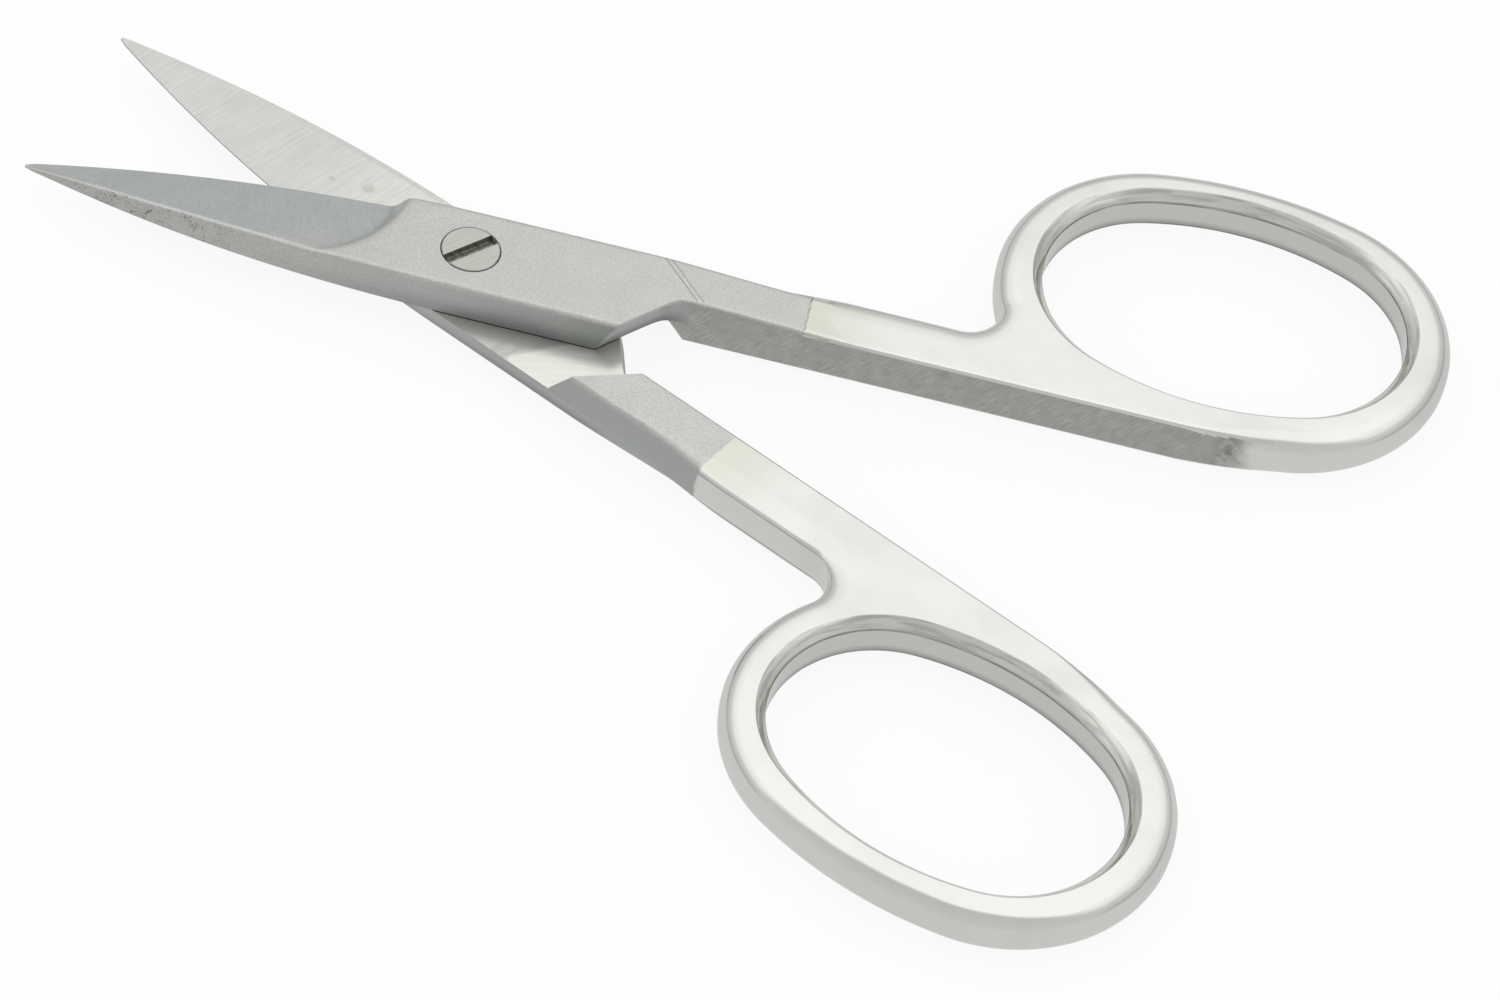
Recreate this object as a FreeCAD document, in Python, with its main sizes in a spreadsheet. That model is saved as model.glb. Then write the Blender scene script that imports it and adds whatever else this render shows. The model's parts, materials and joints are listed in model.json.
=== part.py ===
import FreeCAD, Part
import math
import os
import re
import Sketcher

# Cuticle scissors: two forged halves that turn on one slotted screw.
# Each half is described closed and lying along X: the pivot axis is Z, the tip points to -X, the finger
# ring is on +Y, and the halves slide on each other at z = 0. Lengths are in millimetres, angles in degrees.
sizes = {
    # blade, from the pivot to the tip
    "tip_reach": 29.0,
    "edge_half_width": 4.05,
    "edge_power": 2.0,
    "edge_draft_share": 0.33,
    "spine_half_width": 3.85,
    "spine_power": 2.3,
    "spine_draft_share": 0.24,
    "plate_thickness": 2.1,
    "height_power": 2.8,
    "blade_gap": 0.05,
    "edge_land": 0.05,
    "ridge_drop": 0.05,
    # where the ground bevel runs out into the pivot plate
    "runout_radius": 7.1,
    "runout_reach": 12.1,
    "runout_offset": 4.0,
    "runout_lean_share": 0.44,
    # slanted rear end of the pivot plate, and the shoulder that faces it on the other half
    "plate_reach": 12.5,
    "plate_end_run": 3.45,
    "plate_end_lean_share": 0.38,
    "shoulder_clearance": 0.9,
    "shoulder_lean_share": 0.5,
    # shank
    "closing_gap": 0.16,
    "shank_width": 3.87,
    "shank_round": 0.3,
    "handle_thickness": 3.26,
    "side_band": 1.0,
    "front_reach": 6.0,
    "front_taper": 0.9,
    "crease_reach": 14.6,
    "ramp_length": 9.0,
    "ramp_lap": 1.0,
    # finger ring: a four-centre oval hole in a larger oval, whose free side is slimmer than its ends
    "ring_reach": 46.6,
    "ring_flat": 0.1,
    "ring_tilt": -2.8,
    "hole_half_length": 11.43,
    "hole_half_width": 8.15,
    "hole_end_radius": 7.42,
    "hole_round": 0.93,
    "tube_width": 3.25,
    "free_side_slimming": 0.45,
    "ring_round": 1.0,
    "crotch_radius": 2.4,
    "crotch_sink": 0.02,
    "leg_overlap": 2.6,
    "leg_taper": 4.5,
    "leg_rise": 0.9,
    # pivot screw
    "head_diameter": 3.7,
    "head_height": 1.0,
    "head_proud": 0.03,
    "head_clearance": 0.05,
    "shoulder_diameter": 2.4,
    "running_clearance": 0.03,
    "thread_diameter": 2.0,
    "slot_width": 0.78,
    "slot_depth": 0.55,
    "slot_angle": 59.0,
    # pose and cutting overrun
    "opening_angle": 26.3,
    "overrun": 3.0,
}
section_shares = (0.012, 0.06, 0.15, 0.3, 0.5, 0.72, 0.88, 1.0)
round_shares = (0.0, 0.5, 0.8, 1.0)

doc = FreeCAD.newDocument("cuticle_scissors")
sheet = doc.addObject("Spreadsheet::Sheet", "Sizes")
for row, (alias, number) in enumerate(sizes.items(), 1):
    sheet.set(f"A{row}", alias)
    sheet.set(f"B{row}", str(number))
    sheet.setAlias(f"B{row}", alias)
doc.recompute()

alias_words = re.compile(r"\b(" + "|".join(sizes) + r")\b")
upright = FreeCAD.Rotation(FreeCAD.Vector(1, 1, 1), 120)
sideways = FreeCAD.Rotation(FreeCAD.Vector(1, 0, 0), 90)


def bound(text):
    """The text with each size written as a cell of the sheet."""
    return alias_words.sub(r"Sizes.\1", text)


def value(text):
    return float(sheet.evalExpression(bound(text)))


def bind(thing, settings):
    for path, text in settings.items():
        thing.setExpression(path, bound(text))


def arc_between(start, end, radius, ahead):
    """The short arc from start to end, whose centre is on the left of the way where ahead is true."""
    half = (end - start) * 0.5
    lift = math.sqrt(max(radius**2 - half.Length**2, 0))
    side = FreeCAD.Vector(-half.y, half.x, 0).normalize() * (lift if ahead else -lift)
    centre = start + half + side
    ends = (start, end) if ahead else (end, start)
    first, last = (math.atan2(point.y - centre.y, point.x - centre.x) for point in ends)
    if last < first:
        last += 2 * math.pi
    return Part.ArcOfCircle(Part.Circle(centre, FreeCAD.Vector(0, 0, 1), radius), first, last)


def draw(sketch, corners, arcs=None):
    """A closed line through corners, given as expressions. arcs maps an edge to its radius and its turning:
    1 where the outline bulges outwards, -1 where it is hollow."""
    arcs = arcs or {}
    points = [FreeCAD.Vector(value(x), value(y), 0) for x, y in corners]
    count = len(points)
    heads = []
    tails = []
    for i, start in enumerate(points):
        end = points[(i + 1) % count]
        radius, turning = arcs.get(i, (None, 1))
        if radius:
            sketch.addGeometry(arc_between(start, end, value(radius), turning > 0))
        else:
            sketch.addGeometry(Part.LineSegment(start, end))
        heads.append(1 if turning > 0 else 2)
        tails.append(2 if turning > 0 else 1)
    for i in range(count):
        after = (i + 1) % count
        sketch.addConstraint(Sketcher.Constraint("Coincident", i, tails[i], after, heads[after]))
    for i, (x, y) in enumerate(corners):
        rules = [
            (f"x{i}", Sketcher.Constraint("DistanceX", i, heads[i], points[i].x), x),
            (f"y{i}", Sketcher.Constraint("DistanceY", i, heads[i], points[i].y), y),
        ]
        if i in arcs:
            rules.append((f"r{i}", Sketcher.Constraint("Radius", i, value(arcs[i][0])), arcs[i][0]))
        for label, rule, text in rules:
            sketch.renameConstraint(sketch.addConstraint(rule), label)
            sketch.setExpression(f"Constraints.{label}", bound(text))


def outline(name, corners, arcs=None, place=None, rotation=None):
    """A sketch of its own with that outline, whose place is given as expressions for x, y or z."""
    sketch = doc.addObject("Sketcher::SketchObject", name)
    draw(sketch, corners, arcs)
    sketch.Placement = FreeCAD.Placement(FreeCAD.Vector(), rotation or FreeCAD.Rotation())
    bind(sketch, {f"Placement.Base.{axis}": text for axis, text in (place or {}).items()})
    return sketch


def loft(name, sections, ruled=True):
    made = doc.addObject("Part::Loft", name)
    made.Sections = sections
    made.Solid = True
    made.Ruled = ruled
    return made


def extrusion(name, base, direction, length):
    """base drawn out along direction, given as three expressions, over a length in that direction."""
    made = doc.addObject("Part::Extrusion", name)
    made.Base = base
    made.DirMode = "Custom"
    made.Dir = FreeCAD.Vector(*(value(text) for text in direction))
    bind(made, {f"Dir.{axis}": text for axis, text in zip("xyz", direction)})
    made.Solid = True
    bind(made, {"LengthFwd": length})
    return made


def fused(name, shapes):
    made = doc.addObject("Part::MultiFuse", name)
    made.Shapes = shapes
    return made


def cut(name, base, tool):
    made = doc.addObject("Part::Cut", name)
    made.Base = base
    made.Tool = tool
    return made


def common(name, first, second):
    made = doc.addObject("Part::Common", name)
    made.Base = first
    made.Tool = second
    return made


def drum(name, diameter, bottom, height):
    made = doc.addObject("Part::Cylinder", name)
    bind(made, {"Radius": f"({diameter}) / 2", "Height": height, "Placement.Base.z": bottom})
    return made


# Expressions that several pieces share
inner_side = "closing_gap / 2"
sliding_face = "blade_gap / 2"
outer_side = f"({inner_side} + shank_width)"
rim_level = "handle_thickness / 2"
band_level = "side_band / 2"
end_centre_shift = "(hole_half_length - hole_end_radius)"
hole_offset = f"({inner_side} + tube_width + hole_half_width - ring_flat)"
ring_offset = f"({hole_offset} - free_side_slimming / 2)"
slant = "(plate_end_run / spine_half_width)"
plate_edge_top = "(edge_half_width - edge_draft_share * plate_thickness)"
plate_spine_top = "(spine_half_width - spine_draft_share * plate_thickness)"


def rounded_levels():
    """Levels of the handle from its underside to its top, each with the share of its edge rounding there."""
    levels = []
    for share in round_shares:
        height = f"({band_level} + {share} * ({rim_level} - {band_level}))"
        inset_share = round(1 - math.sqrt(1 - share**2), 3)
        levels.insert(0, (f"-{height}", inset_share))
        levels.append((height, inset_share))
    return levels


def edge_width(share):
    return f"(edge_half_width * (1 - (1 - {share})^edge_power))"


def spine_width(share):
    return f"(spine_half_width * (1 - (1 - {share})^spine_power))"


def blade_height(share):
    return f"(plate_thickness * (1 - (1 - {share})^height_power))"


def blade_blank(half):
    """The blade before grinding: four-sided sections that grow from the tip to the pivot."""
    sections = []
    for i, share in enumerate(section_shares):
        edge, spine, height = edge_width(share), spine_width(share), blade_height(share)
        corners = [
            (f"-{spine}", sliding_face),
            (edge, sliding_face),
            (f"{edge} - edge_draft_share * {height}", height),
            (f"-{spine} + spine_draft_share * {height}", height),
        ]
        place = {"x": f"tip_reach * ({share} - 1)"}
        sections.append(outline(f"{half}_blank_{i}", corners, place=place, rotation=upright))
    return loft(f"{half}_blade_blank", sections, ruled=False)


def bevel_waste(half):
    """What grinding takes off above the line from cutting edge to ridge, as far as the run-out arc."""
    sections = []
    shares = (section_shares[0], *section_shares)
    for i, share in enumerate(shares):
        edge = edge_width(share)
        height = f"({blade_height(share)} - ridge_drop * {share})"
        ridge = f"({spine_width(share)} - spine_draft_share * {height})"
        across = f"({edge} + {ridge})"
        rise = f"({height} - {sliding_face} - edge_land)"
        edge_level = f"({sliding_face} + edge_land)"
        past = f"(overrun / {across})"
        corners = [
            (f"{edge} + overrun", f"{edge_level} - {rise} * {past}"),
            (f"{edge} + overrun", f"{height} + {rise} * {past} + overrun"),
            (f"-{ridge} - overrun", f"{height} + {rise} * {past} + overrun"),
            (f"-{ridge} - overrun", f"{height} + {rise} * {past}"),
        ]
        ahead = "overrun" if i == 0 else "0"
        place = {"x": f"tip_reach * ({share} - 1) - {ahead}"}
        sections.append(outline(f"{half}_bevel_{i}", corners, place=place, rotation=upright))
    above = loft(f"{half}_above_bevel", sections, ruled=False)
    reach = []
    for i, level in enumerate(("-overrun", "plate_thickness + 2 * overrun")):
        radius = f"(runout_radius + runout_lean_share * ({level}))"
        start = "-tip_reach - 2 * overrun"
        corners = [
            (start, f"runout_offset - {radius}"),
            ("-runout_reach", f"runout_offset - {radius}"),
            (f"-runout_reach + {radius}", "runout_offset"),
            ("-runout_reach", f"runout_offset + {radius}"),
            (start, f"runout_offset + {radius}"),
        ]
        arcs = {1: (radius, 1), 2: (radius, 1)}
        reach.append(outline(f"{half}_runout_{i}", corners, arcs, {"z": level}))
    return common(f"{half}_bevel_waste", above, loft(f"{half}_runout", reach))


def pivot_plate(half):
    """The plate round the screw: drafted sides, an undercut slanted end towards the handle."""
    corners = [
        ("-spine_half_width", sliding_face),
        ("edge_half_width", sliding_face),
        (plate_edge_top, "plate_thickness"),
        (f"-{plate_spine_top}", "plate_thickness"),
    ]
    section = outline(f"{half}_plate_section", corners, rotation=upright)
    bar = extrusion(f"{half}_plate_bar", section, ("1", "0", "0"), "crease_reach + overrun")
    far = "crease_reach + 2 * overrun"
    low = "(edge_half_width + overrun)"
    end_corners = [
        (f"plate_reach + {slant} * ({inner_side})", inner_side),
        (f"plate_reach - {slant} * {low}", f"-{low}"),
        (far, f"-{low}"),
        (far, inner_side),
    ]
    end = outline(f"{half}_plate_end", end_corners, place={"z": "-overrun"})
    bind(end, {"Placement.Base.x": "-plate_end_lean_share * overrun"})
    end_waste = extrusion(
        f"{half}_plate_end_waste", end, ("plate_end_lean_share", "0", "1"), "plate_thickness + 3 * overrun"
    )
    rear_corners = [
        (f"crease_reach + {slant} * {low}", f"-{low}"),
        (f"{far} + {slant} * {low}", f"-{low}"),
        (far, low),
        (f"crease_reach - {slant} * {low}", low),
    ]
    rear = outline(f"{half}_plate_rear", rear_corners, place={"z": "-overrun"})
    rear_waste = extrusion(f"{half}_plate_rear_waste", rear, ("0", "0", "1"), "plate_thickness + 2 * overrun")
    return cut(f"{half}_plate_trimmed", cut(f"{half}_plate_cut", bar, end_waste), rear_waste)


def plate_ramp(half):
    """The gentle slope from the plate's top down to the shank's top, along a slanted crease."""
    width = f"({plate_edge_top} - {inner_side})"
    corners = [
        ("crease_reach - ramp_lap", "0"),
        ("crease_reach + ramp_length", "0"),
        ("crease_reach + ramp_length", rim_level),
        ("crease_reach", "plate_thickness"),
        ("crease_reach - ramp_lap", "plate_thickness"),
    ]
    profile = outline(f"{half}_ramp_profile", corners, place={"y": inner_side}, rotation=sideways)
    direction = (f"-{slant} * {width}", width, "0")
    return extrusion(f"{half}_ramp", profile, direction, f"{width} * sqrt(1 + {slant}^2)")


def oval(name, half_width, growth, offset, level):
    """A four-centre oval at a level, grown by growth. Its end arcs share the centres of the hole's."""
    narrow = f"({half_width} - hole_end_radius)"
    middle_radius = f"(({end_centre_shift}^2 + ({half_width})^2 - hole_end_radius^2) / (2 * {narrow}))"
    side = f"({middle_radius} + {growth})"
    end = f"(hole_end_radius + {growth})"
    spread = f"({middle_radius} - hole_end_radius)"
    x = f"({end_centre_shift} * {side} / {spread})"
    y = f"({end} * ({middle_radius} - {half_width}) / {spread})"
    corners = [(x, y), (f"-{x}", y), (f"-{x}", f"-{y}"), (x, f"-{y}")]
    arcs = {0: (side, 1), 1: (end, 1), 2: (side, 1), 3: (end, 1)}
    made = outline(name, corners, arcs, {"x": "ring_reach", "y": offset, "z": level})
    made.Placement.Rotation = FreeCAD.Rotation(FreeCAD.Vector(0, 0, 1), value("ring_tilt"))
    bind(made, {"Placement.Rotation.Angle": "ring_tilt"})
    return made


def shank_bar(half):
    """The shank and the ring's straight inner leg, with a flat inner side and a rounded outer one."""
    sections = []
    end = "ring_reach + leg_overlap"
    for i, (level, inset_share) in enumerate(rounded_levels()):
        outside = f"{outer_side} - {inset_share} * shank_round"
        corners = [
            ("front_reach", inner_side),
            (end, inner_side),
            (f"{end} + leg_taper", f"{inner_side} + leg_rise + {inset_share} * ring_round"),
            (end, outside),
            ("plate_reach", outside),
            ("front_reach", f"{outside} - front_taper"),
        ]
        sections.append(outline(f"{half}_shank_{i}", corners, place={"z": level}))
    return loft(f"{half}_shank", sections)


def crotch_web(half):
    """The hollow corner that blends the shank's outer side into the ring."""
    sections = []
    centre_x = f"(ring_reach - {end_centre_shift} * cos(ring_tilt))"
    centre_y = f"({ring_offset} - {end_centre_shift} * sin(ring_tilt))"
    for i, (level, inset_share) in enumerate(rounded_levels()):
        side = f"({outer_side} - {inset_share} * shank_round)"
        radius = f"(crotch_radius + {inset_share} * ring_round)"
        spread = f"(hole_end_radius + tube_width - {inset_share} * ring_round + {radius} - crotch_sink)"
        y = f"({side} + {radius} - crotch_sink)"
        x = f"({centre_x} - sqrt({spread}^2 - ({y} - {centre_y})^2))"
        ring_x = f"{x} + {radius} * ({centre_x} - {x}) / {spread}"
        ring_y = f"{y} + {radius} * ({centre_y} - {y}) / {spread}"
        low = f"{y} - {radius}"
        tube_middle = f"{centre_x} - sqrt((hole_end_radius + tube_width / 2)^2 - ({low} - {centre_y})^2)"
        corners = [(x, low), (tube_middle, low), (ring_x, ring_y)]
        sections.append(outline(f"{half}_crotch_{i}", corners, {2: (radius, -1)}, {"z": level}))
    return loft(f"{half}_crotch", sections)


def finger_ring(half):
    half_width = "(hole_half_width - free_side_slimming / 2)"
    sections = []
    for i, (level, inset_share) in enumerate(rounded_levels()):
        growth = f"(tube_width - {inset_share} * ring_round)"
        sections.append(oval(f"{half}_ring_{i}", half_width, growth, ring_offset, level))
    return loft(f"{half}_ring", sections)


def finger_hole(half):
    """The hole: an upright band at mid height, widening towards both faces, carried on past them."""
    slope = f"(hole_round / ({rim_level} - {band_level}))"
    wide = f"({slope} * ({rim_level} + overrun - {band_level}))"
    levels = (f"-{rim_level} - overrun", f"-{band_level}", band_level, f"{rim_level} + overrun")
    growths = (wide, "0", "0", wide)
    sections = [
        oval(f"{half}_hole_{i}", "hole_half_width", growth, hole_offset, level)
        for i, (growth, level) in enumerate(zip(growths, levels))
    ]
    return loft(f"{half}_hole", sections)


def closing_flat(half):
    """The waste below the flat inner side, where the ring's oval would reach past it."""
    made = doc.addObject("Part::Box", f"{half}_closing_flat")
    bind(
        made,
        {
            "Length": "2 * hole_half_length",
            "Width": "overrun",
            "Height": "handle_thickness + 2 * overrun",
            "Placement.Base.x": "ring_reach - hole_half_length",
            "Placement.Base.y": f"{inner_side} - overrun",
            "Placement.Base.z": f"-{rim_level} - overrun",
        },
    )
    return made


def shoulder_waste(half):
    """The room under the shank's front end for the other half's plate, up to the slanted shoulder."""
    high = "(edge_half_width + overrun)"
    corners = [
        ("-overrun", f"-{high}"),
        ("plate_reach + shoulder_clearance", f"-{high}"),
        ("plate_reach + shoulder_clearance", "0"),
        (f"plate_reach + shoulder_clearance - {slant} * {high}", high),
        ("-overrun", high),
    ]
    plan = outline(f"{half}_shoulder_plan", corners, place={"z": sliding_face})
    direction = ("shoulder_lean_share", "0", "-1")
    return extrusion(f"{half}_shoulder_waste", plan, direction, "handle_thickness + overrun")


def pivot_holes(half):
    """The holes that the screw passes through or is fixed in, as waste."""
    if half == "lower":
        return [drum("lower_thread_hole", "thread_diameter", "-overrun", "plate_thickness + 2 * overrun")]
    bore = drum(
        "upper_bore", "shoulder_diameter + 2 * running_clearance", "-overrun", "plate_thickness + 2 * overrun"
    )
    seat = "plate_thickness + head_proud - head_height - running_clearance"
    recess = drum("upper_recess", "head_diameter + 2 * head_clearance", seat, "head_height + overrun")
    return [bore, recess]


def forged_half(half):
    blade = cut(f"{half}_blade", blade_blank(half), bevel_waste(half))
    body = fused(
        f"{half}_forging",
        [blade, pivot_plate(half), plate_ramp(half), shank_bar(half), finger_ring(half), crotch_web(half)],
    )
    waste = fused(
        f"{half}_waste", [finger_hole(half), closing_flat(half), shoulder_waste(half), *pivot_holes(half)]
    )
    return cut(f"{half}_half", body, waste)


def origin_plane(body, role):
    return next(plane for plane in body.Origin.OriginFeatures if plane.Role == role)


def attached_sketch(body, name, role):
    sketch = body.newObject("Sketcher::SketchObject", name)
    sketch.AttachmentSupport = [(origin_plane(body, role), "")]
    sketch.MapMode = "FlatFace"
    return sketch


def pivot_screw():
    """Slotted flat head, plain shoulder, and a plain rod in place of the thread."""
    body = doc.addObject("PartDesign::Body", "pivot_screw")
    top = "(plate_thickness + head_proud)"
    profile = attached_sketch(body, "screw_profile", "XZ_Plane")
    corners = [
        ("0", "-plate_thickness"),
        ("thread_diameter / 2", "-plate_thickness"),
        ("thread_diameter / 2", f"-({sliding_face})"),
        ("shoulder_diameter / 2", f"-({sliding_face})"),
        ("shoulder_diameter / 2", f"{top} - head_height"),
        ("head_diameter / 2", f"{top} - head_height"),
        ("head_diameter / 2", top),
        ("0", top),
    ]
    draw(profile, corners)
    doc.recompute()
    turned = body.newObject("PartDesign::Revolution", "screw_turned")
    turned.Profile = profile
    turned.ReferenceAxis = (profile, ["V_Axis"])
    turned.Angle = 360
    doc.recompute()
    solid_volume = turned.Shape.Volume
    slot = attached_sketch(body, "screw_slot", "XY_Plane")
    long, wide = "head_diameter", "(slot_width / 2)"
    draw(slot, [(f"-{long}", f"-{wide}"), (long, f"-{wide}"), (long, wide), (f"-{long}", wide)])
    bind(slot, {"AttachmentOffset.Base.z": top, "AttachmentOffset.Rotation.Angle": "slot_angle"})
    doc.recompute()
    milled = body.newObject("PartDesign::Pocket", "screw_milled")
    milled.Profile = slot
    bind(milled, {"Length": "slot_depth"})
    doc.recompute()
    if not milled.Shape.Volume < solid_volume:
        raise RuntimeError("the screw slot cuts nothing")
    return body


half_angle = "opening_angle / 2"
upper = forged_half("upper")
lower = forged_half("lower")
screw = pivot_screw()
doc.recompute()

# At rest the halves stand open by the opening angle, and the plate's underside is at z = 0
lift = FreeCAD.Vector(0, 0, value("plate_thickness"))
turn = FreeCAD.Rotation(FreeCAD.Vector(0, 0, 1), value(half_angle))
flip = FreeCAD.Rotation(FreeCAD.Vector(1, 0, 0), 180)
upper.Placement = FreeCAD.Placement(lift, turn)
lower.Placement = FreeCAD.Placement(lift, turn.inverted() * flip)
screw.Placement = FreeCAD.Placement(lift, FreeCAD.Rotation())
doc.recompute()

pieces = {"upper_half": upper, "lower_half": lower, "pivot_screw": screw}
failed = [thing.Name for thing in doc.Objects if {"Invalid", "Error"} & set(thing.State)]
if failed:
    raise RuntimeError(f"failed: {failed}")
for node, thing in pieces.items():
    thing.Label = node
    if thing.Shape.isNull() or not thing.Shape.isValid() or len(thing.Shape.Solids) != 1:
        raise RuntimeError(f"{node} is not one valid solid")

os.makedirs("parts", exist_ok=True)
for node, thing in pieces.items():
    thing.Shape.exportStep(f"parts/{node}.step")
    print(node, "volume", round(thing.Shape.Volume, 2), "box", thing.Shape.BoundBox)
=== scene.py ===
import json
import math

import bmesh
import bpy
import numpy as np
from mathutils import Matrix, Vector
from mathutils.geometry import tessellate_polygon


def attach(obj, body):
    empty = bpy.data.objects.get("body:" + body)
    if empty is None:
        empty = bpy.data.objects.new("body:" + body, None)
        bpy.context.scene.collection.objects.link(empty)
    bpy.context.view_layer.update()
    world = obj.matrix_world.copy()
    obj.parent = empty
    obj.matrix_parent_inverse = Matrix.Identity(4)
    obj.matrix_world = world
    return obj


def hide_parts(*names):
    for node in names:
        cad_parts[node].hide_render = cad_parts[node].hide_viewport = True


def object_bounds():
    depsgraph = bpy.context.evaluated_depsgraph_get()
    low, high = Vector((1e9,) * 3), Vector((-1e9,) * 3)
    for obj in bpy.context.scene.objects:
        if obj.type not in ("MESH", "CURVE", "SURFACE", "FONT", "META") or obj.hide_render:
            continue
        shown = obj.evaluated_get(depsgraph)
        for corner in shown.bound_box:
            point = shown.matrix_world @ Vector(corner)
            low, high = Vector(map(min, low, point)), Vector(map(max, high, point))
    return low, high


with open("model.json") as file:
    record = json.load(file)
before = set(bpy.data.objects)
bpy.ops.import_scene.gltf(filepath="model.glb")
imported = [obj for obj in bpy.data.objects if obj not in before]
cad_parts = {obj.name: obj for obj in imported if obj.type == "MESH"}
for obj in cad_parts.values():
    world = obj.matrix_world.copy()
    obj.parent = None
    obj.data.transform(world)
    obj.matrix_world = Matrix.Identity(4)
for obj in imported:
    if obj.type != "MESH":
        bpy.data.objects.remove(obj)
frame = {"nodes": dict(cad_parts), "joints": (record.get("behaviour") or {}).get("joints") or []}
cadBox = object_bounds()
print("frame loaded:", ", ".join(sorted(frame["nodes"])))

millimetre = 0.001  # shapes are worked out in millimetres and stored in metres
toMetres = Matrix.Diagonal((millimetre, millimetre, millimetre, 1))
sharpAngle = math.radians(28)  # edges that turn by more than this stay sharp
pivot = frame["joints"][0]
slidingLevel = pivot["pos_m"][2]
halfOpening = math.radians(-pivot["range_deg"][0] / 2)  # each half is turned by half the opening
liftToPivot = Matrix.Translation((0, 0, slidingLevel))
turnOver = Matrix.Rotation(math.pi, 4, "X")
halfPlaces = {  # from a half lying shut along X, tip at -X and ring at +Y
    "upper": liftToPivot @ Matrix.Rotation(halfOpening, 4, "Z"),
    "lower": liftToPivot @ Matrix.Rotation(-halfOpening, 4, "Z") @ turnOver,
}
innerFaceSlot, groundSideSlot, holeWallSlot = 1, 2, 3  # finishes on a half, after the forged steel in slot 0


def softMax(first, second, softness):
    return 0.5 * (first + second + np.sqrt((first - second) ** 2 + softness ** 2))


def softMin(first, second, softness):
    return -softMax(-first, -second, softness)


def smoothStep(low, high, value):
    share = np.clip((value - low) / (high - low), 0.0, 1.0)
    return share * share * (3.0 - 2.0 * share)


def roundedCorner(start, corner, end, count):
    share = np.linspace(0.0, 1.0, count)[:, None]
    points = [np.asarray(point, float) for point in (start, corner, end)]
    return (1 - share) ** 2 * points[0] + 2 * share * (1 - share) * points[1] + share ** 2 * points[2]


# Blade, pivot plate and ramp of one half, seen with the sliding face down
blade = {
    "tipReach": 29.0, "noseReach": 28.64, "noseLength": 0.6,
    "edgeWidth": 4.05, "edgePower": 2.0, "edgeDraft": 0.33,
    "spineWidth": 3.85, "spinePower": 2.3, "spineDraft": 0.24,
    "thickness": 2.1, "heightPower": 2.8,
    "faceLevel": 0.025, "edgeLand": 0.05, "ridgeDrop": 0.05,
    "runoutX": -12.7, "runoutY": 4.3, "runoutRadius": 7.0, "runoutLean": 0.52, "runoutSoft": 0.55,
    "runoutRound": 0.42, "roundFrom": -13.0, "roundTo": -8.0, "bevelSoft": 0.08,
    "ridgeRound": 0.32, "ridgeShare": 0.35, "farRound": 0.3, "farShare": 0.4, "widthShare": 0.2,
    "grindBlend": 0.22, "runoutBlend": 1.0, "grindEnd": -2.6, "spineBlend": (0.02, 0.2),
    "sideBlend": (0.1, 0.35), "sideFade": (-16.0, 10.0),
    "endReach": 12.5, "endSlant": 0.896, "endLean": 0.38, "endSoft": 0.06, "notchSoft": 0.5,
    "innerSide": 0.1, "creaseReach": 14.67, "creaseSoft": 0.08,
    "rampDrop": 0.048, "sinkStart": 12.0, "sinkEnd": 20.0, "sink": 0.16, "groundFrom": 14.2,
    "spans": [(-28.6, 22), (-26.0, 50), (-11.0, 84), (-2.6, 24), (8.4, 96), (15.6, 22)],  # start and sections
    "rear": 24.0, "sidePoints": 6, "ridgePoints": 6, "topPoints": 44, "farPoints": 5, "edgePoints": 4,
}


def bladeShare(x):
    nose = np.sqrt(np.clip((x + blade["noseReach"]) / blade["noseLength"], 0.0, 1.0))
    return nose * np.clip((x + blade["tipReach"]) / blade["tipReach"], 0.0, 1.0)


def edgeLine(x):
    sunk = blade["sink"] * smoothStep(blade["sinkStart"], blade["sinkEnd"], x)
    return blade["edgeWidth"] * (1 - (1 - bladeShare(x)) ** blade["edgePower"]) - sunk


def spineLine(x):
    return -blade["spineWidth"] * (1 - (1 - bladeShare(x)) ** blade["spinePower"])


def blankHeight(x):
    return blade["thickness"] * (1 - (1 - bladeShare(x)) ** blade["heightPower"])


def nearSide(x, z):
    spine = spineLine(x) + blade["spineDraft"] * z
    end = (x - blade["endReach"] - blade["endLean"] * z) / blade["endSlant"]
    return softMin(softMax(spine, end, blade["endSoft"]), blade["innerSide"], blade["notchSoft"])


def rampTop(x, y):
    pastCrease = x - blade["creaseReach"] + blade["endSlant"] * y
    return blankHeight(x) - blade["rampDrop"] * softMax(pastCrease, 0.0, blade["creaseSoft"])


def groundTop(x, y):  # hollow of the blade: a flat bevel that runs out in a round wall
    height, share = blankHeight(x), bladeShare(x)
    ridgeY = spineLine(x) + blade["spineDraft"] * height
    land = np.minimum(blade["edgeLand"], 0.5 * (height - blade["faceLevel"]))
    low, high = blade["faceLevel"] + land, height - blade["ridgeDrop"] * share
    bevel = high + (low - high) * (y - ridgeY) / (edgeLine(x) - ridgeY)
    distance = np.hypot(np.maximum(x - blade["runoutX"], 0.0), y - blade["runoutY"])
    wall = (distance - blade["runoutRadius"]) / blade["runoutLean"]
    return softMax(bevel, wall, blade["runoutSoft"] * share)


def topHeight(x, y):
    runout = blade["runoutRound"] * smoothStep(blade["roundFrom"], blade["roundTo"], x)
    return softMin(rampTop(x, y), groundTop(x, y), (blade["bevelSoft"] + runout) * bladeShare(x))


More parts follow.
